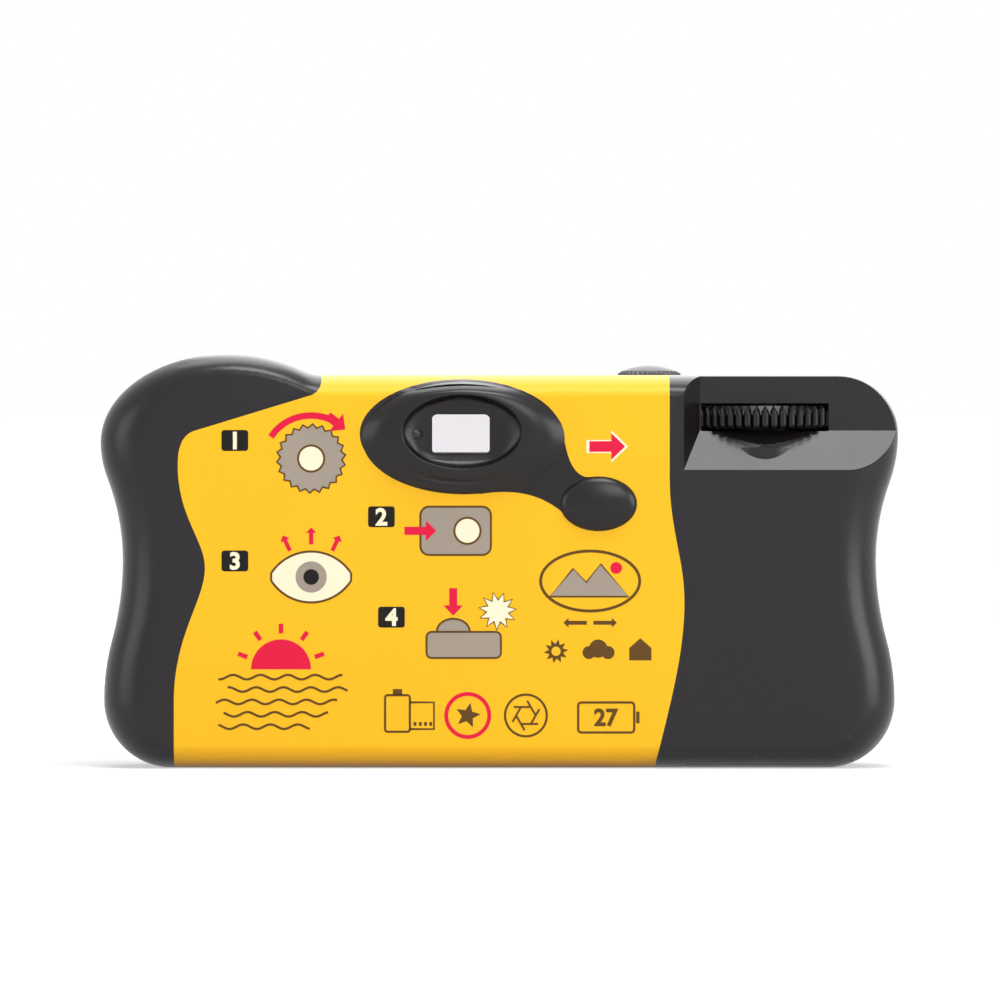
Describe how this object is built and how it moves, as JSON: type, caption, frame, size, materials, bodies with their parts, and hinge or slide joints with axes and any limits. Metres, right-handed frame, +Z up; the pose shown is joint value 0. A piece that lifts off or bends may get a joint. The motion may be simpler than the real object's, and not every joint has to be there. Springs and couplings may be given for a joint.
{
  "type": "disposable film camera",
  "caption": "Pocket film camera with built-in flash: printed sleeve on a moulded body, thumbwheel film advance, oval eyepiece, shutter button and a cassette door in its base.",
  "frame": {"origin": "on the base, under the line where the rear and front covers meet, midway between the sides", "axes": "+X to the right seen from the rear, +Y the way the lens looks, +Z up"},
  "size_m": [0.1226, 0.0385, 0.0636],
  "materials": {
    "cover_plastic": "satin black",
    "wheel_plastic": "satin black",
    "bezel_plastic": "gloss black",
    "button_plastic": "satin dark grey",
    "label_print": "printed film, yellow",
    "clear_plastic": "clear moulded plastic",
    "tube_glass": "clear",
    "lamp_glass": "clear, orange electrodes",
    "frame_plastic": "matte black",
    "white_plastic": "plain white",
    "lever_plastic": "plain grey",
    "spring_steel": "plain",
    "reflector_metal": "bright",
    "contact_brass": "plain",
    "board_laminate": "green solder mask",
    "ferrite": "dull",
    "chip_plastic": "dull black",
    "coil_wrap": "varnished copper wire",
    "capacitor_sleeve": "dark blue sleeve",
    "cell_sleeve": "painted",
    "cassette_paint": "painted",
    "cassette_steel": "black lacquer",
    "film_base": "film base"
  },
  "bodies": {
    "camera": {"aperture_plate": "frame_plastic", "backup_pawl": "spring_steel", "battery": "cell_sleeve", "cassette_cap_bottom": "cassette_steel", "cassette_cap_top": "cassette_steel", "cassette_shell": "cassette_paint", "charge_contact": "spring_steel", "circuit_board": "board_laminate", "contact_negative": "spring_steel", "contact_positive": "spring_steel", "counter_window": "clear_plastic", "film_strip": "film_base", "finder_box": "frame_plastic", "finder_front_lens": "clear_plastic", "finder_rear_lens": "clear_plastic", "flash_capacitor": "capacitor_sleeve", "flash_reflector": "reflector_metal", "flash_tube": "tube_glass", "flash_window": "clear_plastic", "front_cover": "cover_plastic", "label_wrap": "label_print", "lens_bezel": "bezel_plastic", "lens_holder": "frame_plastic", "light_pipe": "clear_plastic", "light_tunnel": "frame_plastic", "main_frame": "frame_plastic", "mechanism_plate": "frame_plastic", "ready_lamp": "lamp_glass", "rear_cover": "cover_plastic", "sync_contacts": "contact_brass", "taking_lens": "clear_plastic", "transformer": "ferrite", "transistor": "chip_plastic", "trigger_coil": "coil_wrap"},
    "winding": {"thumbwheel": "wheel_plastic", "cassette_spool": "frame_plastic"},
    "sprocket": {"sprocket_wheel": "white_plastic", "drive_cam": "white_plastic", "counter_finger": "white_plastic"},
    "supply": {"supply_spool": "frame_plastic", "film_roll": "film_base"},
    "counter": {"counter_wheel": "white_plastic"},
    "release": {"shutter_button": "button_plastic"},
    "metering": {"metering_lever": "lever_plastic"},
    "kick": {"kick_lever": "lever_plastic"},
    "blade": {"shutter_blade": "spring_steel"},
    "charge": {"charge_button": "button_plastic"},
    "door": {"cassette_door": "cover_plastic"}
  },
  "joints": [
    {"name": "thumbwheel_turn", "type": "hinge", "parent": "camera", "child": "winding", "pos_m": [0.0408, -0.0012, 0.05385], "axis": [0, 0, 1], "continuous": true},
    {"name": "sprocket_turn", "type": "hinge", "parent": "camera", "child": "sprocket", "pos_m": [0.0205, -0.00455, 0.0391], "axis": [0, 0, 1], "continuous": true, "deforming": ["film_strip"]},
    {"name": "supply_turn", "type": "hinge", "parent": "camera", "child": "supply", "pos_m": [-0.041, -0.002, 0.025], "axis": [0, 0, 1], "continuous": true},
    {"name": "counter_turn", "type": "hinge", "parent": "camera", "child": "counter", "pos_m": [0.0086, 0.004, 0.056], "axis": [0, 0, 1], "continuous": true},
    {"name": "shutter_press", "type": "slide", "parent": "camera", "child": "release", "axis": [0, 0, -1], "range_m": [0, 0.001], "stiffness_N_per_m": 300},
    {"name": "metering_swing", "type": "hinge", "parent": "camera", "child": "metering", "pos_m": [0.014, -0.0096, 0.053], "axis": [0, 0, 1], "range_deg": [0, 5], "stiffness_Nm_per_rad": 0.002},
    {"name": "kick_swing", "type": "hinge", "parent": "camera", "child": "kick", "pos_m": [0.008, 0.0005, 0.0487], "axis": [0, 0, 1], "range_deg": [0, 16], "stiffness_Nm_per_rad": 0.002},
    {"name": "blade_swing", "type": "hinge", "parent": "camera", "child": "blade", "pos_m": [0.0075, 0.0116, 0.032], "axis": [0, -1, 0], "range_deg": [0, 22.4]},
    {"name": "charge_press", "type": "slide", "parent": "camera", "child": "charge", "axis": [0, -1, 0], "range_m": [0, 0.001], "stiffness_N_per_m": 300},
    {"name": "door_swing", "type": "hinge", "parent": "camera", "child": "door", "pos_m": [0.02875, -0.0011, 0], "axis": [0, 1, 0], "range_deg": [0, 80]}
  ],
  "couplings": [
    {"joint": "sprocket_turn", "follows": "thumbwheel_turn", "ratio": 1.3554},
    {"joint": "supply_turn", "follows": "thumbwheel_turn", "ratio": 0.9535},
    {"joint": "counter_turn", "follows": "thumbwheel_turn", "ratio": -0.04518},
    {"joint": "blade_swing", "follows": "kick_swing", "ratio": 1.4}
  ]
}
